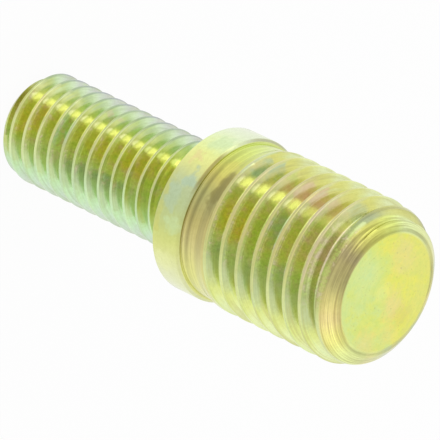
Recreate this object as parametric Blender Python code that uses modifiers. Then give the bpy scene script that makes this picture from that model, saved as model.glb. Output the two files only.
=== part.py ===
"""Stepped stud bolt: a small and a large thread on either side of a plain collar, turned in one piece.

The stud stands on the flat face of its small end, with that face's centre at the origin and the axis
along +Z. Lengths are in metres.
"""

import math

import bmesh
import bpy

# Threads: diameter over the crests, pitch, and the groove's shape as shares of the pitch
SMALL_DIAMETER = 0.00795
SMALL_PITCH = 0.00125
LARGE_DIAMETER = 0.01175
LARGE_PITCH = 0.0015
GROOVE_DEPTH_PER_PITCH = 0.6134
CREST_FLAT_PER_PITCH = 0.125
ROOT_ROUND_PER_PITCH = 0.05
FLANK_ANGLE = math.radians(30)
RUNOUT_TURNS = 0.45

# 1 turns both threads right-handed, -1 left-handed
THREAD_HAND = 1

# Lengths along the axis
SMALL_END_LENGTH = 0.0175
COLLAR_LENGTH = 0.0026
LARGE_END_LENGTH = 0.0139

# Small end: the chamfer at its tip, and the bare neck that the thread leaves under the collar
SMALL_CHAMFER = 0.000875
SMALL_NECK_STEP = 0.000325
SMALL_NECK_LENGTH = 0.0012

# Collar: how far it stands out past the large thread, and the bevel on its two rims
COLLAR_STAND_OUT = 0.000075
COLLAR_BEVEL = 0.0002

# Large end: a bare neck above the collar that widens into the thread
LARGE_NECK_STEP = 0.000265
LARGE_NECK_LENGTH = 0.0013
LARGE_NECK_RISE = 0.00095

# Large end: a slow taper over the first threads and a steep chamfer at the tip
LARGE_TAPER_LENGTH = 0.0014
LARGE_TAPER_STEP = 0.00044
LARGE_CHAMFER_LENGTH = 0.0007
LARGE_CHAMFER_STEP = 0.000885

# Where one crest of each thread crosses the +X side, measured inward from that end's own face
SMALL_CREST_DEPTH = 0.00888
LARGE_CREST_DEPTH = 0.00557

# Fineness of the mesh
SEGMENTS_PER_TURN = 32
CUTTER_OVERLAP = 0.0001
SMOOTH_ANGLE = math.radians(30)

SMALL_RADIUS = SMALL_DIAMETER / 2
LARGE_RADIUS = LARGE_DIAMETER / 2
COLLAR_RADIUS = LARGE_RADIUS + COLLAR_STAND_OUT
COLLAR_TOP = SMALL_END_LENGTH + COLLAR_LENGTH
TOTAL_LENGTH = COLLAR_TOP + LARGE_END_LENGTH


def clear_scene():
    for obj in list(bpy.data.objects):
        bpy.data.objects.remove(obj)


def new_collection(name, hidden=False):
    made = bpy.data.collections.new(name)
    made.hide_render = hidden
    bpy.context.scene.collection.children.link(made)
    return made


def large_end_outline():
    """(radius, height) points from the axis, over the tip and down the side to the collar's top face."""
    chamfer_foot = TOTAL_LENGTH - LARGE_CHAMFER_LENGTH
    taper_radius = LARGE_RADIUS - LARGE_TAPER_STEP
    neck_radius = LARGE_RADIUS - LARGE_NECK_STEP
    neck_top = COLLAR_TOP + LARGE_NECK_LENGTH
    return [
        (0, TOTAL_LENGTH),
        (taper_radius - LARGE_CHAMFER_STEP, TOTAL_LENGTH),
        (taper_radius, chamfer_foot),
        (LARGE_RADIUS, chamfer_foot - LARGE_TAPER_LENGTH),
        (LARGE_RADIUS, neck_top + LARGE_NECK_RISE),
        (neck_radius, neck_top),
        (neck_radius, COLLAR_TOP),
    ]


def collar_outline():
    return [
        (COLLAR_RADIUS - COLLAR_BEVEL, COLLAR_TOP),
        (COLLAR_RADIUS, COLLAR_TOP - COLLAR_BEVEL),
        (COLLAR_RADIUS, SMALL_END_LENGTH + COLLAR_BEVEL),
        (COLLAR_RADIUS - COLLAR_BEVEL, SMALL_END_LENGTH),
    ]


def small_end_outline():
    """(radius, height) points from the collar's underside down the side and in over the tip to the axis."""
    neck_radius = SMALL_RADIUS - SMALL_NECK_STEP
    neck_foot = SMALL_END_LENGTH - SMALL_NECK_LENGTH
    return [
        (neck_radius, SMALL_END_LENGTH),
        (neck_radius, neck_foot),
        (SMALL_RADIUS, neck_foot - SMALL_NECK_STEP),
        (SMALL_RADIUS, SMALL_CHAMFER),
        (SMALL_RADIUS - SMALL_CHAMFER, 0),
        (0, 0),
    ]


def turned(name, outline, target):
    """A closed body of revolution about Z from (radius, height) points."""
    mesh = bpy.data.meshes.new(name)
    points = [(radius, 0, height) for radius, height in outline]
    edges = [(index, index + 1) for index in range(len(points) - 1)]
    mesh.from_pydata(points, edges, [])
    obj = bpy.data.objects.new(name, mesh)
    target.objects.link(obj)
    screw = obj.modifiers.new("Turn", "SCREW")
    screw.steps = screw.render_steps = SEGMENTS_PER_TURN
    screw.use_merge_vertices = True
    screw.merge_threshold = 1e-6
    return obj


def groove_section(name, pitch, target):
    """The groove's cross-section as a closed curve: x runs outward from the crest line, y along the axis."""
    root_depth = GROOVE_DEPTH_PER_PITCH * pitch
    flank_depth = root_depth - ROOT_ROUND_PER_PITCH * pitch
    crest_half = pitch * (1 - CREST_FLAT_PER_PITCH) / 2
    outer_half = crest_half + CUTTER_OVERLAP * math.tan(FLANK_ANGLE)
    inner_half = crest_half - flank_depth * math.tan(FLANK_ANGLE)
    corners = [
        (CUTTER_OVERLAP, outer_half),
        (-flank_depth, inner_half),
        (-root_depth, 0),
        (-flank_depth, -inner_half),
        (CUTTER_OVERLAP, -outer_half),
    ]
    curve = bpy.data.curves.new(name, "CURVE")
    curve.dimensions = "2D"
    spline = curve.splines.new("POLY")
    spline.points.add(len(corners) - 1)
    for point, (x, y) in zip(spline.points, corners):
        point.co = (x, y, 0, 1)
    spline.use_cyclic_u = True
    obj = bpy.data.objects.new(name, curve)
    target.objects.link(obj)
    as_helper(obj)
    return obj


def groove_path(name, crest_radius, pitch, groove_height, bottom, top, run_out_at):
    """A helix curve along the groove from height bottom to top, which rises out of the metal at one end."""
    first = math.ceil((bottom - groove_height) / pitch * SEGMENTS_PER_TURN)
    last = math.floor((top - groove_height) / pitch * SEGMENTS_PER_TURN)
    run_out_steps = RUNOUT_TURNS * SEGMENTS_PER_TURN
    full_rise = GROOVE_DEPTH_PER_PITCH * pitch + CUTTER_OVERLAP
    curve = bpy.data.curves.new(name, "CURVE")
    curve.dimensions = "3D"
    curve.twist_mode = "Z_UP"
    spline = curve.splines.new("POLY")
    spline.points.add(last - first)
    for point, step in zip(spline.points, range(first, last + 1)):
        angle = THREAD_HAND * 2 * math.pi * step / SEGMENTS_PER_TURN
        height = groove_height + pitch * step / SEGMENTS_PER_TURN
        steps_from_end = step - first if run_out_at == "bottom" else last - step
        radius = crest_radius + full_rise * max(0, 1 - steps_from_end / run_out_steps)
        point.co = (radius * math.cos(angle), radius * math.sin(angle), height, 1)
    return curve


def groove_cutter(name, path, section, target):
    """The solid that the groove takes away: the section swept along the path."""
    path.bevel_mode = "OBJECT"
    path.bevel_object = section
    path.use_fill_caps = True
    guide = bpy.data.objects.new(name + "_guide", path)
    target.objects.link(guide)
    bpy.context.view_layer.update()
    graph = bpy.context.evaluated_depsgraph_get()
    mesh = bpy.data.meshes.new_from_object(guide.evaluated_get(graph))
    weld(mesh)
    obj = bpy.data.objects.new(name, mesh)
    obj.matrix_world = guide.matrix_world
    target.objects.link(obj)
    bpy.data.objects.remove(guide)
    as_helper(obj)
    return obj


def weld(mesh):
    """Joins the loose end caps to the sides and turns every face outward."""
    shape = bmesh.new()
    shape.from_mesh(mesh)
    bmesh.ops.remove_doubles(shape, verts=shape.verts, dist=1e-7)
    bmesh.ops.recalc_face_normals(shape, faces=shape.faces)
    shape.to_mesh(mesh)
    shape.free()


def as_helper(obj):
    obj.hide_render = True
    obj.display_type = "WIRE"


def small_groove(target):
    path = groove_path(
        "small_path",
        SMALL_RADIUS,
        SMALL_PITCH,
        SMALL_CREST_DEPTH + SMALL_PITCH / 2,
        -SMALL_PITCH,
        SMALL_END_LENGTH - SMALL_NECK_LENGTH + SMALL_PITCH / 4,
        "top",
    )
    section = groove_section("small_section", SMALL_PITCH, target)
    return groove_cutter("small_groove", path, section, target)


def large_groove(target):
    path = groove_path(
        "large_path",
        LARGE_RADIUS,
        LARGE_PITCH,
        TOTAL_LENGTH - LARGE_CREST_DEPTH + LARGE_PITCH / 2,
        COLLAR_TOP + LARGE_NECK_LENGTH + LARGE_NECK_RISE,
        TOTAL_LENGTH + LARGE_PITCH,
        "bottom",
    )
    section = groove_section("large_section", LARGE_PITCH, target)
    return groove_cutter("large_groove", path, section, target)


def cut(obj, cutter):
    boolean = obj.modifiers.new("Cut " + cutter.name, "BOOLEAN")
    boolean.operation = "DIFFERENCE"
    boolean.solver = "EXACT"
    boolean.object = cutter


def finish(obj, material):
    """Applies the turning and the cuts, shades the round faces smooth and gives the material."""
    bpy.context.view_layer.update()
    graph = bpy.context.evaluated_depsgraph_get()
    mesh = bpy.data.meshes.new_from_object(obj.evaluated_get(graph))
    mesh.shade_smooth()
    mesh.set_sharp_from_angle(angle=SMOOTH_ANGLE)
    mesh.materials.clear()
    mesh.materials.append(material)
    obj.modifiers.clear()
    obj.data = mesh


def chromate_steel():
    material = bpy.data.materials.new("yellow_chromate_steel")
    material.use_nodes = True
    shader = material.node_tree.nodes["Principled BSDF"]
    shader.inputs["Base Color"].default_value = (0.62, 0.62, 0.18, 1)
    shader.inputs["Metallic"].default_value = 1
    shader.inputs["Roughness"].default_value = 0.3
    return material


def main():
    clear_scene()
    parts = new_collection("stud_bolt")
    cutters = new_collection("cutters", hidden=True)
    outline = large_end_outline() + collar_outline() + small_end_outline()
    stud = turned("stud", outline, parts)
    cut(stud, small_groove(cutters))
    cut(stud, large_groove(cutters))
    finish(stud, chromate_steel())


main()
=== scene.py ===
"""Dresses the stepped stud bolt: a fine-threaded body in iridescent yellow chromate, on a pale studio floor."""

import math

import bmesh
import bpy
import numpy as np
from bpy.props import FloatProperty, FloatVectorProperty, IntProperty, PointerProperty
from mathutils import Euler, Matrix, Vector


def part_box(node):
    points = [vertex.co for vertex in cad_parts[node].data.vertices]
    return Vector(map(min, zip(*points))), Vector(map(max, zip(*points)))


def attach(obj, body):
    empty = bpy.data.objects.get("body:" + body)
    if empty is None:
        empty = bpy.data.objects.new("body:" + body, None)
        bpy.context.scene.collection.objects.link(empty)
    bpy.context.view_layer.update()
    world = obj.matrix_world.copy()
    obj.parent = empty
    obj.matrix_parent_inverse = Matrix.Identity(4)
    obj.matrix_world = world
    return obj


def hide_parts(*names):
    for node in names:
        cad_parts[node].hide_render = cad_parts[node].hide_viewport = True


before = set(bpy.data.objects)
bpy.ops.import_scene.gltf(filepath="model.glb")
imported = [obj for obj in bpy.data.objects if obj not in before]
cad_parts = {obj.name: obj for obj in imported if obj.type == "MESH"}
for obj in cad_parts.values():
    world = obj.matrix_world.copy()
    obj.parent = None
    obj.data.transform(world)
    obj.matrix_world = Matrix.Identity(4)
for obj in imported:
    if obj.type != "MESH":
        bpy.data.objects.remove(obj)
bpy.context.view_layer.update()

bl_info = {
    "name": "Stepped Stud Bolt",
    "version": (1, 0, 0),
    "blender": (4, 5, 0),
    "location": "View3D > Sidebar > Stud Bolt",
    "description": "Models a stepped stud bolt with fine rolled threads and a yellow chromate finish",
    "category": "Add Mesh",
}

MM = 0.001
STUD_LOW, STUD_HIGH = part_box("stud")

# Shape of a rolled metric thread, as shares of its pitch
GROOVE_DEPTH = 0.6134
CREST_FLAT = 0.125
ROOT_ROUND = 0.125
CREST_SOFTNESS = 0.03 * MM
FLANK_ANGLE = math.radians(30)
RUN_OUT_TURNS = 0.45


def length(name, default, description):
    return FloatProperty(name=name, default=default, description=description, unit="LENGTH", precision=5)


def colour(name, default, description):
    return FloatVectorProperty(name=name, default=default, description=description, subtype="COLOR", size=3,
                               min=0, max=1)


class StudSizes(bpy.types.PropertyGroup):
    total_length: length("Length", STUD_HIGH.z, "Overall length, from the packed solid")
    collar_diameter: length("Collar", 2 * STUD_HIGH.x, "Diameter of the collar, from the packed solid")
    small_diameter: length("Small thread", 0.00795, "Diameter over the small thread's crests")
    small_pitch: length("Small pitch", 0.00125, "Rise of the small thread in one turn")
    small_end: length("Small end", 0.0175, "Length from the small face to the collar")
    small_crest: length("Small crest", 0.00888, "Height of one crest on the +X side, above the small face")
    small_chamfer: length("Small chamfer", 0.000875, "Size of the 45 degree chamfer at the small tip")
    small_neck_step: length("Small neck step", 0.000325, "How far the small neck lies under the crests")
    small_neck: length("Small neck", 0.0012, "Length of the bare neck under the collar")
    collar: length("Collar length", 0.0026, "Length of the collar")
    collar_bevel: length("Collar bevel", 0.0002, "Bevel on the collar's two rims")
    large_diameter: length("Large thread", 0.01175, "Diameter over the large thread's crests")
    large_pitch: length("Large pitch", 0.0015, "Rise of the large thread in one turn")
    large_crest: length("Large crest", 0.00557, "Depth of one crest on the +X side, below the large face")
    large_neck_step: length("Large neck step", 0.000265, "How far the large neck lies under the crests")
    large_neck: length("Large neck", 0.0013, "Length of the straight neck above the collar")
    large_neck_rise: length("Neck rise", 0.00095, "Length over which the neck widens into the thread")
    large_taper: length("Taper length", 0.0014, "Length of the slow taper over the last turns")
    large_taper_step: length("Taper step", 0.00044, "How far the taper falls under the crests")
    large_chamfer: length("Chamfer length", 0.0007, "Length of the steep chamfer at the large tip")
    large_chamfer_step: length("Chamfer step", 0.000885, "How far the steep chamfer comes in")
    large_rim: length("Face rim", 0.0003, "Width of the rounding between the steep chamfer and the large face")
    segments: IntProperty(name="Segments", default=180, min=36, max=360, description="Faces in one turn")
    thread_hand: IntProperty(name="Hand", default=1, min=-1, max=1, description="1 right-handed, -1 left-handed")


# Colours of the chromate film, together with colours that paint light and shade into it: glint, brown and the three
# shade colours.
class FilmAndPaintedLightColours(bpy.types.PropertyGroup):
    # Painted highlight: this colour paints the lamp's glints in the grooves, not a thinner film.
    painted_glint: colour("Glint", (0.97, 1.0, 0.46), "Thinnest film, in the row of bright spots along the upper side")
    lemon: colour("Lemon", (0.92, 0.96, 0.46), "Thin film")
    pale_mint: colour("Pale mint", (0.66, 0.86, 0.50), "Thin film, greener")
    peach: colour("Peach", (0.86, 0.74, 0.34), "Thin film, redder")
    gold: colour("Gold", (0.69, 0.66, 0.14), "Film of middle thickness")
    orange: colour("Orange", (0.70, 0.56, 0.19), "Film of middle thickness, redder")
    leaf_green: colour("Leaf green", (0.52, 0.68, 0.17), "Film of middle thickness, greener")
    pale_sea: colour("Pale sea green", (0.50, 0.64, 0.46), "Thick film on open surfaces")
    teal: colour("Teal", (0.48, 0.60, 0.38), "Thick film in the grooves")
    sea_green: colour("Sea green", (0.50, 0.70, 0.36), "Thick film, greener")
    rose: colour("Rose", (0.72, 0.60, 0.44), "Thick film, redder")
    salmon: colour("Salmon", (0.74, 0.56, 0.37), "Thick film, redder still")
    thick_large: colour("Large thread streaks", (0.58, 0.56, 0.20), "Thicker film in streaks along the large thread")
    thick_small: colour("Small thread streaks", (0.50, 0.62, 0.38), "Thicker film in streaks along the small thread")
    # brown paints shade as the dark line on the collar's top rim; it also darkens the small tip's rim on its upper side
    # and lays a spot on the large neck.
    brown: colour("Brown", (0.26, 0.22, 0.07), "Thickest film, in corners and on sharp rims")
    # Painted shade: the next three colours darken the lower side of the grooves and carry the film's hue there;
    # end_shade also tints one spot in the grooves near the small tip.
    small_shade: colour("Small thread shade", (0.50, 0.61, 0.30), "Lower side of the small grooves")
    end_shade: colour("Small thread end shade", (0.60, 0.68, 0.26), "Lower side of the small grooves near both ends")
    large_shade: colour("Large thread shade", (0.55, 0.62, 0.26), "Lower side of the large grooves")


class StageSettings(bpy.types.PropertyGroup):
    elevation: FloatProperty(name="Elevation", default=math.radians(38.69), subtype="ANGLE",
                             description="How far the camera looks down")
    roll: FloatProperty(name="Roll", default=math.radians(115.97), subtype="ANGLE",
                        description="How far the camera is rolled, so that the stud lies across the picture")
    distance: length("Distance", 0.6123, "From the camera to the point it looks at")
    aim: FloatVectorProperty(name="Aim", default=(0, 0.00049, 0.01847), subtype="TRANSLATION", unit="LENGTH",
                             description="The point the camera looks at")
    lens: FloatProperty(name="Lens", default=736.4, description="Focal length in millimetres", min=1, max=2000)
    floor_size: length("Floor", 3.0, "Side of the square floor")
    sky_strength: FloatProperty(name="Sky", default=0.8, description="Strength of the white surroundings")
    key_strength: FloatProperty(name="Key lamp", default=0.4, description="Strength of the key lamp")
    key_direction: FloatVectorProperty(name="Key direction", default=(0.50, -0.75, 0.43), subtype="DIRECTION",
                                       description="From the stud towards the key lamp")
    key_angle: FloatProperty(name="Key size", default=math.radians(60), subtype="ANGLE",
                             description="Apparent size of the key lamp")


def only(obj):
    """Selects this object alone and makes it active."""
    bpy.ops.object.select_all(action="DESELECT")
    obj.select_set(True)
    bpy.context.view_layer.objects.active = obj


def drawn_outline(name, points):
    """An edge chain through (radius, height) points in the XZ plane, drawn by extruding one vertex."""
    bpy.ops.object.select_all(action="DESELECT")
    bpy.ops.mesh.primitive_plane_add(size=MM)
    obj = bpy.context.active_object
    obj.name = name
    bpy.ops.object.mode_set(mode="EDIT")
    bpy.ops.mesh.select_all(action="SELECT")
    bpy.ops.mesh.merge(type="CENTER")
    radius, height = points[0]
    bpy.ops.transform.translate(value=(radius, 0, height))
    for (r0, z0), (r1, z1) in zip(points, points[1:]):
        bpy.ops.mesh.extrude_region_move(TRANSFORM_OT_translate={"value": (r1 - r0, 0, z1 - z0)})
    bpy.ops.object.mode_set(mode="OBJECT")
    return obj


def turn(obj, segments, rise=0.0, turns=1):
    """Sweeps an outline round Z, rising by rise in each turn."""
    only(obj)
    screw = obj.modifiers.new("Turn", "SCREW")
    screw.steps = screw.render_steps = segments
    screw.screw_offset = rise
    screw.iterations = turns
    screw.use_merge_vertices = True
    screw.merge_threshold = 1e-7
    bpy.ops.object.modifier_apply(modifier=screw.name)


def arc(centre, radius, start, end, steps):
    """Points on an arc, with angles in radians from the outward direction."""
    x, y = centre
    angles = [start + (end - start) * k / steps for k in range(steps + 1)]
    return [(x + radius * math.cos(a), y + radius * math.sin(a)) for a in angles]


def tooth_outline(crest_radius, pitch):
    """One pitch of thread, downward from the middle of a crest: crest, flank, round root, flank, crest.

    The crests stand out past crest_radius, because the blank trims them.
    """
    spare = CREST_SOFTNESS * 1.2
    half_flat = CREST_FLAT * pitch / 2
    root_round = ROOT_ROUND * pitch
    swing = math.pi / 2 - FLANK_ANGLE
    root_x = crest_radius - GROOVE_DEPTH * pitch + root_round
    root = arc((root_x, -pitch / 2), root_round, math.pi - swing, math.pi + swing, 6)
    flank_top = (crest_radius + spare, -half_flat + spare * math.tan(FLANK_ANGLE))
    near_crest = (crest_radius - spare, -half_flat - spare * math.tan(FLANK_ANGLE))
    half = [(flank_top[0], 0.0), flank_top]
    half += between(flank_top, near_crest, 4)
    half += between(near_crest, root[0], 3)
    half += root[1:4]
    lower = [(x, -pitch - z) for x, z in reversed(half[:-1])]
    return half + lower


def between(start, end, parts):
    """The points from start (left out) to end that split the straight line into equal parts."""
    return [
        (start[0] + (end[0] - start[0]) * k / parts, start[1] + (end[1] - start[1]) * k / parts)
        for k in range(1, parts + 1)
    ]


def soft_min(a, b, width):
    """The smaller of two values, with the corner between them rounded over width."""
    overlap = np.maximum(width - np.abs(a - b), 0) / width
    return np.minimum(a, b) - overlap**2 * width / 4


def soft_max(a, b, width):
    return -soft_min(-a, -b, width)


def small_blank(sizes, z):
    """Radius of the small end before its thread is rolled, at height z."""
    crest = sizes.small_diameter / 2
    neck = crest - sizes.small_neck_step
    neck_foot = sizes.small_end - sizes.small_neck
    chamfer = crest - sizes.small_chamfer + z
    shoulder = soft_max(np.full_like(z, neck), neck + (neck_foot - z), 0.06 * MM)
    return soft_min(soft_min(np.full_like(z, crest), chamfer, 0.05 * MM), shoulder, 0.05 * MM)


def large_blank(sizes, z):
    """Radius of the large end before its thread is rolled, at height z."""
    crest = sizes.large_diameter / 2
    collar_top = sizes.small_end + sizes.collar
    neck = crest - sizes.large_neck_step
    rise = neck + (z - collar_top - sizes.large_neck) * sizes.large_neck_step / sizes.large_neck_rise
    chamfer_foot = sizes.total_length - sizes.large_chamfer
    taper_foot = chamfer_foot - sizes.large_taper
    taper = crest - (z - taper_foot) * sizes.large_taper_step / sizes.large_taper
    steep = sizes.large_chamfer_step / sizes.large_chamfer
    chamfer = crest - sizes.large_taper_step - (z - chamfer_foot) * steep
    bare = soft_min(np.full_like(z, crest), soft_max(np.full_like(z, neck), rise, 0.05 * MM), 0.05 * MM)
    return soft_min(soft_min(bare, taper, 0.04 * MM), chamfer, 0.12 * MM)


def rolled_thread(name, sizes, crest_radius, pitch, crest_height, low, high, blank, run_out):
    """A helical band of thread between two heights, cut back to the blank. run_out is (full, gone) heights."""
    hand = sizes.thread_hand
    below = math.ceil((crest_height - low) / pitch)
    start = crest_height - below * pitch
    turns = math.ceil((high - start) / pitch) + 1
    outline = [(radius, start + z) for radius, z in tooth_outline(crest_radius, pitch)]
    obj = drawn_outline(name, outline)
    turn(obj, sizes.segments, pitch, turns)
    weld(obj)
    place = np.empty(len(obj.data.vertices) * 3)
    obj.data.vertices.foreach_get("co", place)
    x, y, z = place.reshape(-1, 3).T
    radius = np.hypot(x, y)
    angle = np.arctan2(y, x)
    phase = ((z - start) / pitch - angle / (2 * math.pi) + 0.01) % 1
    groove_height = z - (phase - 0.51) * pitch
    full, gone = run_out
    lift = np.clip((groove_height - full) / (gone - full), 0, 1) * (GROOVE_DEPTH + 0.05) * pitch
    shaped = soft_min(radius + lift, blank(sizes, z), CREST_SOFTNESS)
    place.reshape(-1, 3)[:, 0] = shaped * np.cos(angle)
    place.reshape(-1, 3)[:, 1] = shaped * np.sin(angle) * hand
    obj.data.vertices.foreach_set("co", place)
    obj.data.update()
    trim(obj, low, high)
    return obj


def weld(obj):
    """Merges the vertices that lie in the same place."""
    only(obj)
    bpy.ops.object.mode_set(mode="EDIT")
    bpy.ops.mesh.select_all(action="SELECT")
    bpy.ops.mesh.remove_doubles(threshold=1e-6)
    bpy.ops.object.mode_set(mode="OBJECT")


def trim(obj, low, high):
    """Cuts the open band off square at both heights."""
    only(obj)
    bpy.ops.object.mode_set(mode="EDIT")
    bpy.ops.mesh.select_all(action="SELECT")
    bpy.ops.mesh.bisect(plane_co=(0, 0, low), plane_no=(0, 0, 1), clear_inner=True, threshold=1e-8)
    bpy.ops.mesh.select_all(action="SELECT")
    bpy.ops.mesh.bisect(plane_co=(0, 0, high), plane_no=(0, 0, 1), clear_outer=True, threshold=1e-8)
    bpy.ops.object.mode_set(mode="OBJECT")


def turned_part(name, sizes, outline, bevel, steps=3):
    """A plain turned stretch with softened corners."""
    obj = drawn_outline(name, outline)
    turn(obj, sizes.segments)
    corners = obj.modifiers.new("Soft corners", "BEVEL")
    corners.width = bevel
    corners.segments = steps
    corners.limit_method = "ANGLE"
    corners.angle_limit = math.radians(12)
    corners.use_clamp_overlap = True
    bpy.ops.object.modifier_apply(modifier=corners.name)
    return obj


def close_gap(obj, height, reach):
    """Bridges the two open rims that lie within reach of a height."""
    bpy.ops.object.mode_set(mode="EDIT")
    bpy.ops.mesh.select_mode(type="EDGE")
    bpy.ops.mesh.select_all(action="DESELECT")
    shape = bmesh.from_edit_mesh(obj.data)
    for edge in shape.edges:
        near = all(abs(vert.co.z - height) < reach for vert in edge.verts)
        edge.select_set(edge.is_boundary and near)
    bmesh.update_edit_mesh(obj.data)
    bpy.ops.mesh.bridge_edge_loops()
    bpy.ops.object.mode_set(mode="OBJECT")


def joined(parts, name):
    bpy.ops.object.select_all(action="DESELECT")
    for part in parts:
        part.select_set(True)
    bpy.context.view_layer.objects.active = parts[0]
    bpy.ops.object.join()
    parts[0].name = name
    return parts[0]


def finish_mesh(obj, sharp_angle):
    """Merges doubles, turns the faces outward and shades the round faces smooth."""
    weld(obj)
    bpy.ops.object.mode_set(mode="EDIT")
    bpy.ops.mesh.select_all(action="SELECT")
    bpy.ops.mesh.normals_make_consistent(inside=False)
    bpy.ops.object.mode_set(mode="OBJECT")
    bpy.ops.object.shade_smooth_by_angle(angle=sharp_angle)


class StudBolt_OT_body(bpy.types.Operator):
    """Model the stud: two rolled threads, the necks, the collar and the chamfered tips"""

    bl_idname = "stud_bolt.body"
    bl_label = "Threaded Body"

    def execute(self, context):
        sizes = context.scene.stud_sizes
        seam = 0.02 * MM
        collar_top = sizes.small_end + sizes.collar
        small_low, small_high = 0.05 * MM, sizes.small_end - 0.5 * MM
        large_low, large_high = collar_top + 1.1 * MM, sizes.total_length - 0.26 * MM
        small_gone = sizes.small_end - sizes.small_neck + sizes.small_pitch / 4
        small = rolled_thread(
            "small_thread", sizes, sizes.small_diameter / 2, sizes.small_pitch, sizes.small_crest,
            small_low, small_high, small_blank, (small_gone - RUN_OUT_TURNS * sizes.small_pitch, small_gone))
        large_gone = collar_top + sizes.large_neck + sizes.large_neck_rise
        large = rolled_thread(
            "large_thread", sizes, sizes.large_diameter / 2, sizes.large_pitch,
            sizes.total_length - sizes.large_crest, large_low, large_high, large_blank,
            (large_gone + RUN_OUT_TURNS * sizes.large_pitch, large_gone))
        parts = [small, large]
        parts.append(self.small_tip(sizes, small_low - seam))
        parts.append(self.middle(sizes, small_high + seam, large_low - seam))
        parts.append(self.large_tip(sizes, large_high + seam))
        stud = joined(parts, "threaded_body")
        only(stud)
        for height in (small_low, small_high, large_low, large_high):
            close_gap(stud, height, 2 * seam)
        finish_mesh(stud, math.radians(35))
        stud.data.materials.clear()
        stud.data.materials.append(yellow_chromate(sizes, context.scene.stud_films))
        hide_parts("stud")
        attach(stud, "root")
        return {"FINISHED"}

    @staticmethod
    def small_tip(sizes, top):
        tip = sizes.small_diameter / 2 - sizes.small_chamfer
        outline = [(tip + top, top), (tip, 0), (0, 0)]
        return turned_part("small_tip", sizes, outline, 0.03 * MM)

    @staticmethod
    def middle(sizes, low, high):
        """The collar and both necks."""
        rim = sizes.collar_diameter / 2
        large_neck = sizes.large_diameter / 2 - sizes.large_neck_step
        small_neck = sizes.small_diameter / 2 - sizes.small_neck_step
        top = sizes.small_end + sizes.collar
        outline = [
            (large_neck, high),
            (large_neck, top),
            (rim - sizes.collar_bevel, top),
            (rim, top - sizes.collar_bevel),
            (rim, sizes.small_end + sizes.collar_bevel),
            (rim - sizes.collar_bevel, sizes.small_end),
            (small_neck, sizes.small_end),
            (small_neck, low),
        ]
        return turned_part("collar_and_necks", sizes, outline, 0.05 * MM)

    @staticmethod
    def large_tip(sizes, low):
        steep = sizes.large_chamfer_step / sizes.large_chamfer
        face = sizes.large_diameter / 2 - sizes.large_taper_step - sizes.large_chamfer_step
        outline = [
            (0, sizes.total_length),
            (face, sizes.total_length),
            (face + (sizes.total_length - low) * steep, low),
        ]
        return turned_part("large_tip", sizes, outline, sizes.large_rim, 6)


class Signal:
    """A socket's value in a formula: arithmetic on it adds Math nodes to its material."""

    def __init__(self, finish, socket):
        self.finish = finish
        self.socket = socket

    def maths(self, operation, *values, clamp=False):
        return self.finish.node("Math", {"operation": operation, "use_clamp": clamp}, dict(enumerate(values)))

    def __add__(self, other):
        return self.maths("ADD", self, other)

    def __radd__(self, other):
        return self.maths("ADD", other, self)

    def __sub__(self, other):
        return self.maths("SUBTRACT", self, other)

    def __rsub__(self, other):
        return self.maths("SUBTRACT", other, self)

    def __mul__(self, other):
        return self.maths("MULTIPLY", self, other)

    def __rmul__(self, other):
        return self.maths("MULTIPLY", other, self)

    def __truediv__(self, other):
        return self.maths("DIVIDE", self, other)

    def __rtruediv__(self, other):
        return self.maths("DIVIDE", other, self)

    def power(self, exponent):
        return self.maths("POWER", self, exponent)

    def root(self):
        return self.maths("SQRT", self)

    def least(self, other):
        return self.maths("MINIMUM", self, other)

    def most(self, other):
        return self.maths("MAXIMUM", self, other)

    def clamped(self):
        return self.maths("ADD", self, 0, clamp=True)

    def size(self):
        return self.maths("ABSOLUTE", self)

    def bearing(self, x):
        """The angle of (x, this value), in radians."""
        return self.maths("ARCTAN2", self, x)

    def smooth(self, low, high):
        """0 up to low, 1 from high on, and an even S between."""
        settings = {"interpolation_type": "SMOOTHSTEP"}
        return self.finish.node("MapRange", settings, {"Value": self, "From Min": low, "From Max": high})


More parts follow.
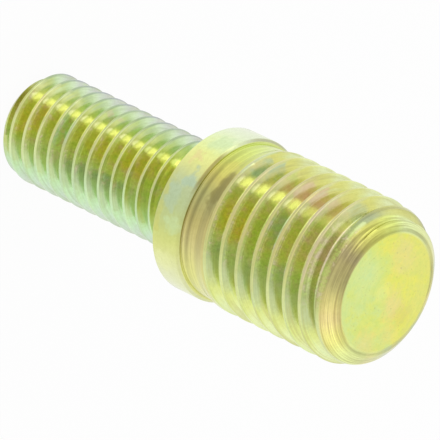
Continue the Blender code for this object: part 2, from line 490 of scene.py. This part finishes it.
class Finish:
    """A material's node tree, or the world's, with one method that adds any node."""

    def __init__(self, name, store=None):
        store = bpy.data.materials if store is None else store
        self.owner = store.new(name)
        self.owner.use_nodes = True
        self.tree = self.owner.node_tree
        self.tree.nodes.clear()

    def node(self, kind, settings=None, inputs=None, output=0):
        """Adds a node, sets it up, then fills its sockets, and returns one output."""
        made = self.tree.nodes.new("ShaderNode" + kind)
        for key, value in (settings or {}).items():
            setattr(made, key, value)
        for key, value in (inputs or {}).items():
            self.fill(made.inputs[key], value)
        return Signal(self, made.outputs[output])

    def fill(self, socket, value):
        if isinstance(value, Signal):
            self.tree.links.new(value.socket, socket)
        elif value is not None:
            socket.default_value = value

    def ramp(self, factor, stops, interpolation="LINEAR"):
        """A colour for each value of factor. stops are (place, (r, g, b)) pairs."""
        made = self.tree.nodes.new("ShaderNodeValToRGB")
        band = made.color_ramp
        band.interpolation = interpolation
        while len(band.elements) < len(stops):
            band.elements.new(1)
        for element, (place, tint) in zip(band.elements, stops):
            element.position = place
            element.color = (*tint, 1)
        self.fill(made.inputs["Fac"], factor)
        return Signal(self, made.outputs["Color"])

    def mix(self, factor, a, b, blend="MIX"):
        made = self.tree.nodes.new("ShaderNodeMix")
        made.data_type = "RGBA"
        made.blend_type = blend
        self.fill(made.inputs[0], factor)
        self.fill(made.inputs[6], with_alpha(a))
        self.fill(made.inputs[7], with_alpha(b))
        return Signal(self, made.outputs[2])

    def noise(self, vector, scale, detail=2.0, roughness=0.5, output="Fac"):
        inputs = {"Vector": vector, "Scale": scale, "Detail": detail, "Roughness": roughness}
        return self.node("TexNoise", None, inputs, output)

    def split(self, vector):
        """The three parts of a vector."""
        made = self.tree.nodes.new("ShaderNodeSeparateXYZ")
        self.fill(made.inputs[0], vector)
        return [Signal(self, part) for part in made.outputs]

    def join(self, x, y, z):
        """A vector from its three parts."""
        return self.node("CombineXYZ", None, {"X": x, "Y": y, "Z": z})

    def seen(self):
        """1 where the camera sees this straight, in a reflection or through glass."""
        path = self.tree.nodes.new("ShaderNodeLightPath")
        straight, glossy, through = (
            Signal(self, path.outputs[name]) for name in ("Is Camera Ray", "Is Glossy Ray", "Is Transmission Ray"))
        return straight.most(glossy).most(through)

    def show(self, shader):
        """Makes a shader the material's surface."""
        output = self.tree.nodes.new("ShaderNodeOutputMaterial")
        self.fill(output.inputs["Surface"], shader)


def with_alpha(tint):
    return tint if isinstance(tint, Signal) else (*tint, 1)


def round_ramp(finish, bearing, back, stops):
    """A ramp over the bearing round the stud, with one colour at the back. stops are (degrees, (r, g, b)) pairs."""
    placed = [((angle + 180) / 360, tint) for angle, tint in [(-130, back), *stops, (130, back)]]
    return finish.ramp((bearing + 180) / 360, placed, "CARDINAL")


def grey_ramp(finish, value, low, high, stops, interpolation="CARDINAL"):
    """A factor that follows (place, factor) stops while value runs from low to high."""
    placed = [((place - low) / (high - low), (factor, factor, factor)) for place, factor in stops]
    return finish.ramp((value - low) / (high - low), placed, interpolation)


class Surface:
    """Where a point of the stud lies, as sockets: height and radius in millimetres, bearing in degrees."""

    def __init__(self, finish):
        place = finish.node("TexCoord", output="Object")
        self.in_mm = finish.node("VectorMath", {"operation": "SCALE"}, {0: place, "Scale": 1000.0})
        x, y, self.z = finish.split(self.in_mm)
        self.x, self.y = x, y
        self.radius = (x * x + y * y).root()
        self.bearing = y.bearing(x) * (180 / math.pi)
        self.finish = finish
        facing = finish.split(finish.node("TexCoord", output="Normal"))[2]
        self.facing_down = (0 - facing).smooth(0.2, 0.5)
        drift = finish.split(finish.noise(self.in_mm, 0.9, 2.0, 0.6, "Color"))
        self.loose_z = self.z + (drift[0] - 0.5) * 1.6
        self.loose_bearing = self.bearing + (drift[1] - 0.5) * 26

    def dab(self, z, bearing, tall, wide):
        """1 at the middle of a soft-edged spot, 0 outside it. tall in millimetres, wide in degrees."""
        up = (self.loose_z - z) / tall
        across = (self.loose_bearing - bearing) / wide
        return 1 - (up * up + across * across).smooth(0.15, 1.2)

    def streaks(self, along, across):
        """Noise drawn out round the stud, as a turning tool or a rolling die leaves it."""
        stretched = self.finish.join(self.z * across + self.x * along, self.radius * across, self.y * along)
        return self.finish.noise(stretched, 1.0, 2.0, 0.6)


def groove_film(finish, films, place, tint, sunk):
    """Dabs of other film colours in the grooves of both threads."""
    dabs = [
        (1.4, -40, 1.6, 13, films.orange, 0.6), (3.4, -12, 0.7, 22, films.orange, 0.5), (2.2, 6, 1.4, 25, films.gold, 0.7),
        (5.4, -6, 0.7, 26, films.sea_green, 0.9), (7.6, 12, 0.8, 18, films.leaf_green, 0.5), (9.2, -2, 1.2, 12, films.gold, 0.6),
        (8.6, 32, 2.2, 13, films.teal, 0.9), (10.9, 28, 1.6, 13, films.teal, 0.9), (12.2, -6, 1.3, 13, films.gold, 0.7),
        (13.6, -8, 0.7, 20, films.orange, 0.4), (14.9, 18, 0.8, 22, films.leaf_green, 0.5),
        (23.3, -2, 0.7, 18, films.gold, 0.7), (24.8, -2, 0.7, 22, films.gold, 0.9), (24.8, 8, 0.6, 14, films.orange, 0.3),
        (23.3, 33, 0.8, 10, films.teal, 0.7), (26.3, 4, 0.8, 20, films.leaf_green, 0.5), (27.6, -8, 0.8, 18, films.teal, 0.7),
        (26.6, 38, 1.2, 8, films.teal, 0.5), (28.0, 18, 0.9, 10, films.leaf_green, 0.6), (29.2, 26, 0.8, 14, films.teal, 0.5),
        (27.9, -44, 2.6, 11, films.salmon, 0.8), (30.8, -8, 0.8, 18, films.rose, 0.4), (31.0, 22, 0.7, 12, films.leaf_green, 0.5),
        (32.1, -12, 0.7, 24, films.rose, 0.8),
        (23.4, -48, 1.0, 14, films.teal, 0.9), (25.0, -50, 0.8, 8, films.leaf_green, 0.5), (32.0, -50, 0.8, 12, films.teal, 0.5),
        (2.6, -46, 3.0, 16, films.end_shade, 0.8), (2.8, -39, 3.4, 11, films.lemon, 0.4), (8.4, -46, 1.0, 6, films.rose, 0.5), (30.6, -40, 0.9, 8, films.salmon, 0.4)]
    for z, bearing, tall, wide, film, strength in dabs:
        tint = finish.mix(place.dab(z, bearing, tall, wide) * sunk * strength, tint, film)
    return tint


def face_film(finish, films, place, grain):
    """The large end's flat face: mint on one side, yellow on the other, with faint rings and specks."""
    cloud = finish.noise(place.in_mm, 0.5, 5.0, 0.72)
    across = (place.x * 0.79 + place.y * 0.61) / 9 + 0.5 + (cloud - 0.5) * 1.4
    tint = finish.ramp(across, [
        (0.1, (0.80, 0.80, 0.22)), (0.4, (0.83, 0.83, 0.17)), (0.6, (0.74, 0.82, 0.23)), (0.85, (0.70, 0.82, 0.32))],
        "EASE")
    spots = [
        (-1.2, 0.6, 1.2, films.peach, 0.7), (0.2, -2.6, 1.3, films.peach, 0.5), (-2.6, 1.0, 1.0, films.orange, 0.3),
        (2.4, -0.6, 1.5, films.pale_mint, 0.4), (-0.5, 3.9, 1.2, films.peach, 0.5), (-2.2, 2.6, 1.2, films.peach, 0.4),
        (0.4, 0.2, 0.8, films.lemon, 0.3)]
    for x, y, reach, film, strength in spots:
        near = ((place.x - x) * (place.x - x) + (place.y - y) * (place.y - y)).root() / reach
        tint = finish.mix((1 - (near + (cloud - 0.5) * 2.4).smooth(0.2, 1.3)) * strength, tint, film)
    rings = finish.noise(finish.join(place.radius * 5, 0.0, 0.0), 1.0, 2.0, 0.6)
    tint = finish.mix(1.0, tint, finish.ramp(rings, [(0.3, (0.96, 0.96, 0.92)), (0.6, (1, 1, 1))]), "MULTIPLY")
    blotches = finish.noise(place.in_mm, 2.2, 3.0, 0.7)
    tint = finish.mix(1.0, tint, finish.ramp(blotches, [(0.35, (0.93, 0.97, 0.92)), (0.62, (1.02, 1.0, 0.92))]), "MULTIPLY")
    specks = finish.noise(place.in_mm, 4.5, 2.0, 0.7).smooth(0.62, 0.70)
    tint = finish.mix(specks * 0.4, tint, (0.44, 0.40, 0.16))
    return finish.mix((grain - 0.5).size() * 0.8, tint, (0.62, 0.64, 0.24))


def yellow_chromate(sizes, films):
    """Zinc plate under a yellow chromate film, whose colour shifts with its thickness over the surface; painted shade,
    painted highlights and painted reflections are laid into the same colour.

    In a groove the light is reflected twice, so its colours are written paler than they show.
    """
    finish = Finish("yellow_chromate")
    place = Surface(finish)
    z, radius, bearing = place.z, place.radius, place.bearing
    wander = finish.noise(place.in_mm, 0.35, 3.0, 0.6)
    grain = finish.noise(place.in_mm, 3.5, 4.0, 0.65)
    around = bearing + (wander - 0.5) * 16

    small_crest = sizes.small_diameter / 2 / MM
    large_crest = sizes.large_diameter / 2 / MM
    small_depth = GROOVE_DEPTH * sizes.small_pitch / MM
    large_depth = GROOVE_DEPTH * sizes.large_pitch / MM
    collar_foot = sizes.small_end / MM
    collar_top = collar_foot + sizes.collar / MM
    neck_top = collar_top + (sizes.large_neck + sizes.large_neck_rise) / MM
    total = sizes.total_length / MM
    chamfer_foot = total - sizes.large_chamfer / MM
    taper_foot = chamfer_foot - sizes.large_taper / MM
    rim_radius = large_crest - (sizes.large_taper_step + sizes.large_chamfer_step) / MM
    flat_radius = rim_radius - sizes.large_rim / MM

    # The colours round the stud hold the film's own colour together with painted shade and painted reflections: darker
    # across the front and paler towards the sides; the chamfer's front-upper side is painted darker against the key
    # lamp's highlight.
    small_groove = round_ramp(finish, around, (0.60, 0.69, 0.24), [
        (-84, (0.63, 0.67, 0.58)), (-66, (0.68, 0.83, 0.55)), (-52, (0.54, 0.69, 0.29)), (-38, (0.67, 0.75, 0.27)),
        (-24, (0.66, 0.69, 0.21)), (-12, (0.65, 0.68, 0.19)), (8, (0.66, 0.72, 0.25)), (25, (0.62, 0.74, 0.36)),
        (42, (0.60, 0.78, 0.44)), (60, (0.62, 0.87, 0.51)), (86, (0.66, 0.76, 0.62))])
    small_land = round_ramp(finish, around, (0.64, 0.72, 0.34), [
        (-84, (0.46, 0.48, 0.50)), (-65, (0.44, 0.55, 0.40)), (-50, (0.46, 0.58, 0.31)), (-36, (0.60, 0.68, 0.32)),
        (-20, (0.65, 0.69, 0.28)), (0, (0.64, 0.66, 0.30)), (20, (0.62, 0.72, 0.34)), (42, (0.66, 0.86, 0.52)),
        (62, (0.66, 0.88, 0.54)), (86, (0.66, 0.76, 0.62))])
    large_groove = round_ramp(finish, around, (0.66, 0.68, 0.22), [
        (-82, (0.77, 0.84, 0.46)), (-65, (0.74, 0.75, 0.24)), (-46, (0.72, 0.69, 0.28)), (-32, (0.66, 0.67, 0.30)), (-12, (0.65, 0.68, 0.23)),
        (8, (0.68, 0.70, 0.26)), (25, (0.64, 0.74, 0.36)), (42, (0.62, 0.71, 0.40)),
        (60, (0.78, 0.85, 0.29)), (82, (0.84, 0.92, 0.48))])
    large_land = round_ramp(finish, around, (0.72, 0.74, 0.32), [
        (-84, (0.84, 0.90, 0.48)), (-66, (0.76, 0.78, 0.26)), (-45, (0.76, 0.70, 0.36)), (-20, (0.64, 0.62, 0.26)), (0, (0.66, 0.60, 0.25)),
        (22, (0.66, 0.68, 0.27)), (45, (0.76, 0.84, 0.38)), (64, (0.76, 0.84, 0.28)), (84, (0.85, 0.93, 0.46))])
    collar_tint = round_ramp(finish, around, (0.74, 0.80, 0.36), [
        (-65, (0.84, 0.93, 0.66)), (-40, (0.86, 0.97, 0.46)), (-24, (0.86, 0.88, 0.33)), (-6, (0.58, 0.66, 0.36)),
        (15, (0.58, 0.66, 0.29)), (38, (0.74, 0.78, 0.28)), (65, (0.82, 0.86, 0.50))])
    neck_tint = round_ramp(finish, around, (0.70, 0.70, 0.24), [
        (-65, (0.80, 0.93, 0.27)), (-38, (0.76, 0.81, 0.20)), (-24, (0.70, 0.64, 0.18)), (-8, (0.52, 0.50, 0.19)),
        (12, (0.58, 0.51, 0.19)), (35, (0.75, 0.69, 0.28)), (60, (0.82, 0.82, 0.28))])
    taper_tint = round_ramp(finish, around, (0.62, 0.64, 0.24), [
        (-65, (0.70, 0.72, 0.26)), (-46, (0.50, 0.56, 0.32)), (-30, (0.54, 0.62, 0.27)), (-15, (0.42, 0.42, 0.13)),
        (5, (0.56, 0.57, 0.20)), (25, (0.60, 0.62, 0.24)), (42, (0.70, 0.77, 0.34)), (65, (0.74, 0.78, 0.38))])
    chamfer_tint = round_ramp(finish, around, (0.72, 0.72, 0.28), [
        (-80, (0.88, 1.0, 0.50)), (-64, (0.82, 0.93, 0.32)), (-48, (0.76, 0.80, 0.21)), (-28, (0.64, 0.61, 0.19)),
        (-15, (0.48, 0.42, 0.21)), (-4, (0.50, 0.44, 0.20)), (14, (0.54, 0.49, 0.21)), (28, (0.80, 0.71, 0.28)),
        (42, (0.93, 0.80, 0.35)), (54, (1.0, 0.93, 0.34)), (66, (0.94, 0.93, 0.32)), (82, (0.87, 0.96, 0.40))])

    small_sunk = ((small_crest - radius) / small_depth).smooth(0.02, 0.14)
    large_sunk = ((large_crest - radius) / large_depth).smooth(0.02, 0.14)
    on_small = 1 - z.smooth(collar_foot - 0.1, collar_foot)
    thread_edge = z - neck_top - place.y / radius * 0.27
    on_large = thread_edge.smooth(-0.08, 0.0) * (1 - z.smooth(total - 0.8, total - 0.7))
    tint = finish.mix(on_small, finish.mix(large_sunk, large_land, large_groove),
                      finish.mix(small_sunk, small_land, small_groove))
    sunk = (on_small * small_sunk).most(on_large * large_sunk)
    tint = groove_film(finish, films, place, tint, sunk)
    crest_dabs = [
        (22.6, -50, 0.9, 20, films.pale_mint, 0.6), (28.5, -40, 1.0, 8, films.peach, 0.7), (30.2, -30, 1.0, 12, films.rose, 0.6),
        (31.4, 0, 1.0, 30, films.rose, 0.5), (27.0, 46, 0.6, 8, films.pale_mint, 0.6), (6.0, -10, 1.2, 20, films.teal, 0.5),
        (2.6, -18, 1.4, 16, films.peach, 0.5), (11.5, 30, 2.5, 14, films.pale_mint, 0.5), (2.6, 20, 3.0, 30, films.lemon, 0.5), (3.0, -42, 3.4, 13, films.lemon, 0.5)]
    for height, angle, tall, wide, film, strength in crest_dabs:
        tint = finish.mix(place.dab(height, angle, tall, wide) * (1 - sunk) * strength, tint, film)
    upper = 1 - (bearing + 38).size().smooth(24.0, 52.0)
    tint = finish.mix((1 - z.smooth(0.8, 1.15)) * upper * 0.45, tint, films.brown)
    grey_tip = (1 - z.smooth(0.3, 0.9)) * bearing.smooth(34, 60)
    tint = finish.mix(grey_tip * 0.7, tint, (0.60, 0.62, 0.54))
    depth = (on_small * (small_crest - radius) / small_depth).most(on_large * (large_crest - radius) / large_depth)
    # Painted shade: on the lower side, deep in each groove, the flanks that face the large end are darkened in a V that
    # narrows towards the silhouette.
    middle = z.smooth(4.0, 7.5) * (1 - z.smooth(12.0, 14.0))
    shade = finish.mix(on_small, films.large_shade, finish.mix(middle, films.end_shade, films.small_shade))
    facing_up = 1 - place.facing_down
    ragged = bearing + (grain - 0.5) * 16
    lower = bearing.smooth(14, 30) * (1 - ragged.smooth(47, 60))
    edge = depth - ragged.smooth(12, 54) * 0.55
    taper = edge.smooth(0.04, 0.2).most(depth.smooth(0.04, 0.12) * 0.5)
    tint = finish.mix(facing_up * lower * taper, tint, shade)
    front = 1 - bearing.size().smooth(22, 42)
    # Painted shade: across the front, the shallow part of the flanks that face the large end is darkened next to the
    # crests.
    front_flank_shade = depth.smooth(0.03, 0.08) * (1 - (depth - bearing * bearing * 0.00013).smooth(0.24, 0.30)) * front * facing_up
    tint = finish.mix(front_flank_shade * 0.7, tint, finish.mix(1.0, tint, (0.68, 0.70, 0.55), "MULTIPLY"))

    on_collar = z.smooth(collar_foot - 0.05, collar_foot) * (1 - z.smooth(collar_top - 0.05, collar_top + 0.02))
    patches = [
        (18.5, -27, 0.7, 7, films.peach, 0.7), (19.4, -10, 0.7, 9, films.pale_sea, 0.8), (18.7, 4, 0.8, 10, films.pale_sea, 0.5),
        (17.8, -4, 0.5, 12, films.gold, 0.5), (17.8, 18, 0.5, 12, films.gold, 0.4), (19.3, 22, 0.7, 9, films.pale_mint, 0.4),
        (19.2, -46, 0.8, 12, films.pale_mint, 0.5), (18.6, 50, 0.9, 9, films.lemon, 0.4)]
    for height, angle, tall, wide, film, strength in patches:
        collar_tint = finish.mix(place.dab(height, angle, tall, wide) * strength, collar_tint, film)
    # Painted shade: a dark line on the bevel of the collar's top rim, faint all round, darkest on the front-upper side
    # where it also covers the key lamp's highlight, and darker again near the upper silhouette.
    top_rim = 1 - (bearing + 84).size().smooth(10.0, 34.0)
    rim = 0.18 + (1 - (bearing + 24).size().smooth(8.0, 26.0)).most(top_rim * 0.5) * 0.72
    collar_tint = finish.mix(z.smooth(collar_top - 0.26, collar_top - 0.12) * rim, collar_tint, films.brown)
    tint = finish.mix(on_collar, tint, collar_tint)
    on_neck = z.smooth(collar_top - 0.05, collar_top + 0.02) * (1 - thread_edge.smooth(-0.08, 0.0))
    # Lighter and darker rings along the neck, fading away from the front; the dark rings next to the collar are painted
    # shade along its rim and in the neck's corner.
    rings = grey_ramp(finish, z, collar_top, neck_top, [
        (20.1, 0.75), (20.3, 1.0), (20.6, 0.66), (20.95, 1.12), (21.3, 1.0), (21.65, 0.84), (22.0, 0.88), (22.3, 1.0)])
    neck = finish.mix(1 - bearing.size().smooth(30, 60) * 0.6, neck_tint, rings, "MULTIPLY")
    neck = finish.mix(place.dab(21.9, -13, 0.75, 17) * 0.68, neck, films.brown)
    neck = finish.mix(place.dab(21.3, -33, 0.6, 8) * 0.6, neck, (0.80, 0.76, 0.20))
    tint = finish.mix(on_neck, tint, neck)
    on_taper = z.smooth(taper_foot + 0.3, taper_foot + 0.9)
    # The lighter ring at the taper's edge with the chamfer is a painted highlight, with a darker ring below it.
    taper_rings = grey_ramp(finish, z, taper_foot, total, [
        (32.3, 1.0), (32.55, 0.92), (32.8, 0.76), (33.05, 1.26), (33.25, 1.15)])
    tint = finish.mix(on_taper, tint, finish.mix(1.0, taper_tint, taper_rings, "MULTIPLY"))
    # Rings on the chamfer, fading towards the back: partly turning marks, partly painted shade and highlights, with a
    # darker band on the rounded rim beside the face and a darker and a lighter line at the edge to the taper.
    chamfer_rings = grey_ramp(finish, radius, flat_radius - 0.1, large_crest, [
        (4.25, 0.98), (4.36, 0.83), (4.47, 0.76), (4.57, 0.79), (4.68, 0.95), (4.78, 1.0), (4.88, 1.16), (5.0, 0.98),
        (5.1, 0.93), (5.22, 1.06), (5.34, 1.04), (5.42, 0.86), (5.52, 1.14)])
    tooling = finish.noise(finish.join(z * 13, place.x * 0.22, place.y * 0.22), 1.0, 2.0, 0.6)
    chamfer = finish.mix(1 - bearing.size().smooth(90, 120) * 0.6, chamfer_tint, chamfer_rings, "MULTIPLY")
    chamfer = finish.mix(1.0, chamfer, finish.ramp(tooling, [(0.34, (0.76, 0.73, 0.68)), (0.6, (1.08, 1.08, 1.04))]), "MULTIPLY")
    tint = finish.mix(z.smooth(chamfer_foot - 0.28, chamfer_foot - 0.08), tint, chamfer)

    mottle = finish.noise(place.in_mm, 1.7, 3.0, 0.7)
    unseen = bearing.size().smooth(95, 120)
    mottled = sunk * front.most(unseen)
    patchy = finish.noise(place.in_mm, 0.5, 3.0, 0.65)
    tint = finish.mix(patchy.smooth(0.52, 0.66) * unseen * 0.6, tint, films.teal)
    tint = finish.mix((1 - patchy.smooth(0.34, 0.46)) * unseen * 0.6, tint, films.peach)
    tint = finish.mix(mottle.smooth(0.5, 0.66) * mottled * 0.5, tint, films.leaf_green)
    tint = finish.mix((1 - mottle.smooth(0.36, 0.48)) * mottled * 0.5, tint, films.rose)
    fine = finish.noise(place.in_mm, 6.0, 2.0, 0.6)
    darker = finish.mix(1.0, tint, finish.ramp(fine, [(0.3, (0.84, 0.84, 0.78)), (0.65, (1, 1, 1))]), "MULTIPLY")
    tint = finish.mix(mottled, tint, darker)
    broad = place.streaks(0.22, 2.6)
    side = bearing.size().smooth(30, 46) * (on_small.most(on_large))
    thick = finish.mix(on_small, films.thick_large, films.thick_small)
    tint = finish.mix((1 - broad.smooth(0.34, 0.52)) * side * 0.45, tint, thick)
    tint = finish.mix(broad.smooth(0.54, 0.70) * side * (0.45 - on_large * 0.25), tint, films.pale_mint)
    lines = place.streaks(0.22, 9.0)
    lined = finish.mix(1.0, tint, finish.ramp(lines, [(0.3, (0.84, 0.84, 0.82)), (0.6, (1, 1, 1))]), "MULTIPLY")
    tint = finish.mix(0.9 - on_collar * 0.75 - sunk * 0.4, tint, lined)
    tint = finish.mix(1.0, tint, finish.ramp(grain, [(0.3, (0.93, 0.93, 0.89)), (0.6, (1, 1, 1))]), "MULTIPLY")
    on_face = z.smooth(total - 0.2, total - 0.1) * (1 - radius.smooth(flat_radius - 0.1, flat_radius + 0.12))
    tint = finish.mix(on_face, tint, face_film(finish, films, place, grain))

    # Painted highlights: a row of bright spots deep in the grooves of both threads, on the upper side, stands in for a
    # lamp's glints on both flanks; it fades towards the large end and stops near both tips.
    across = (bearing + 28.5 + (depth - 0.5) * 8 + (grain - 0.5) * 7) / 6.0
    reach = (depth - 0.55) / 0.48
    seen = 1 - (across * across + reach * reach).smooth(0.1, 1.2)
    hidden = (1 - (bearing + 33.5).size().smooth(5.0, 10.0)) * depth.smooth(0.2, 0.35)
    fading = (1 - z.smooth(27.0, 30.5) * 0.7) * z.smooth(1.1, 1.3) * (1 - z.smooth(32.6, 32.9))
    painted_glint = finish.mix(place.facing_down, seen, hidden) * fading * depth.smooth(0.04, 0.1)
    tint = finish.mix(painted_glint, tint, films.painted_glint)

    roughness = 0.13 + grain * 0.14 + on_face * 0.12
    bump_height = grain * 0.6 + lines * (1 - on_face * 0.8)
    normal = finish.node("Bump", None, {"Strength": 0.2, "Distance": 0.00002, "Height": bump_height})
    shader = finish.node("BsdfPrincipled", None, {
        "Base Color": tint, "Metallic": 1.0, "Roughness": roughness, "Normal": normal})
    finish.show(shader)
    return finish.owner


class StudBolt_OT_stage(bpy.types.Operator):
    """Set the pale floor, the soft studio light and the camera"""

    bl_idname = "stud_bolt.stage"
    bl_label = "Studio"

    def execute(self, context):
        stage = context.scene.stud_stage
        self.floor(stage)
        self.sky(stage)
        self.lamp(stage)
        self.camera(stage)
        context.scene.view_settings.view_transform = "Standard"
        return {"FINISHED"}

    @staticmethod
    def floor(stage):
        bpy.ops.object.select_all(action="DESELECT")
        bpy.ops.mesh.primitive_plane_add(size=stage.floor_size)
        floor = bpy.context.active_object
        floor.name = "floor"
        finish = Finish("pale_floor")
        diffuse = finish.node("BsdfDiffuse", None, {"Color": (0.9, 0.9, 0.9, 1)})
        glow = finish.node("Emission", None, {"Color": (1, 1, 1, 1), "Strength": 1.0})
        mixed = finish.node("MixShader", None, {0: finish.seen() * 0.95, 1: diffuse, 2: glow})
        finish.show(mixed)
        floor.data.materials.append(finish.owner)

    @staticmethod
    def sky(stage):
        finish = Finish("studio_sky", bpy.data.worlds)
        strength = stage.sky_strength + finish.seen() * (1 - stage.sky_strength)
        background = finish.node("Background", None, {"Color": (1, 1, 1, 1), "Strength": strength})
        output = finish.tree.nodes.new("ShaderNodeOutputWorld")
        finish.fill(output.inputs["Surface"], background)
        bpy.context.scene.world = finish.owner

    @staticmethod
    def lamp(stage):
        light = bpy.data.lights.new("key", "SUN")
        light.energy = stage.key_strength
        light.angle = stage.key_angle
        lamp = bpy.data.objects.new("key", light)
        bpy.context.scene.collection.objects.link(lamp)
        lamp.rotation_euler = Vector(stage.key_direction).to_track_quat("Z", "Y").to_euler()

    @staticmethod
    def camera(stage):
        data = bpy.data.cameras.new("camera")
        data.lens = stage.lens
        data.sensor_width = 36
        data.clip_start = 0.01
        data.clip_end = 10
        camera = bpy.data.objects.new("camera", data)
        bpy.context.scene.collection.objects.link(camera)
        tilt = Euler((math.pi / 2 - stage.elevation, 0, math.pi / 2)).to_matrix().to_4x4()
        turned = tilt @ Matrix.Rotation(stage.roll, 4, "Z")
        back = turned.to_3x3() @ Vector((0, 0, 1))
        camera.matrix_world = Matrix.Translation(Vector(stage.aim) + back * stage.distance) @ turned
        bpy.context.scene.camera = camera


class StudBolt_PT_panel(bpy.types.Panel):
    """Lists the steps that make the stud bolt"""

    bl_idname = "STUDBOLT_PT_panel"
    bl_label = "Stud Bolt"
    bl_space_type = "VIEW_3D"
    bl_region_type = "UI"
    bl_category = "Stud Bolt"

    def draw(self, context):
        for step in STEPS:
            self.layout.operator(step.bl_idname)
        for name in ("small_diameter", "small_pitch", "large_diameter", "large_pitch", "thread_hand"):
            self.layout.prop(context.scene.stud_sizes, name)


STEPS = (StudBolt_OT_body, StudBolt_OT_stage)
CLASSES = (StudSizes, FilmAndPaintedLightColours, StageSettings, *STEPS, StudBolt_PT_panel)


def register():
    for cls in CLASSES:
        bpy.utils.register_class(cls)
    bpy.types.Scene.stud_sizes = PointerProperty(type=StudSizes)
    bpy.types.Scene.stud_films = PointerProperty(type=FilmAndPaintedLightColours)
    bpy.types.Scene.stud_stage = PointerProperty(type=StageSettings)


def unregister():
    del bpy.types.Scene.stud_stage
    del bpy.types.Scene.stud_films
    del bpy.types.Scene.stud_sizes
    for cls in reversed(CLASSES):
        bpy.utils.unregister_class(cls)


def main():
    register()
    bpy.ops.stud_bolt.body()
    bpy.ops.stud_bolt.stage()


if __name__ == "__main__":
    main()
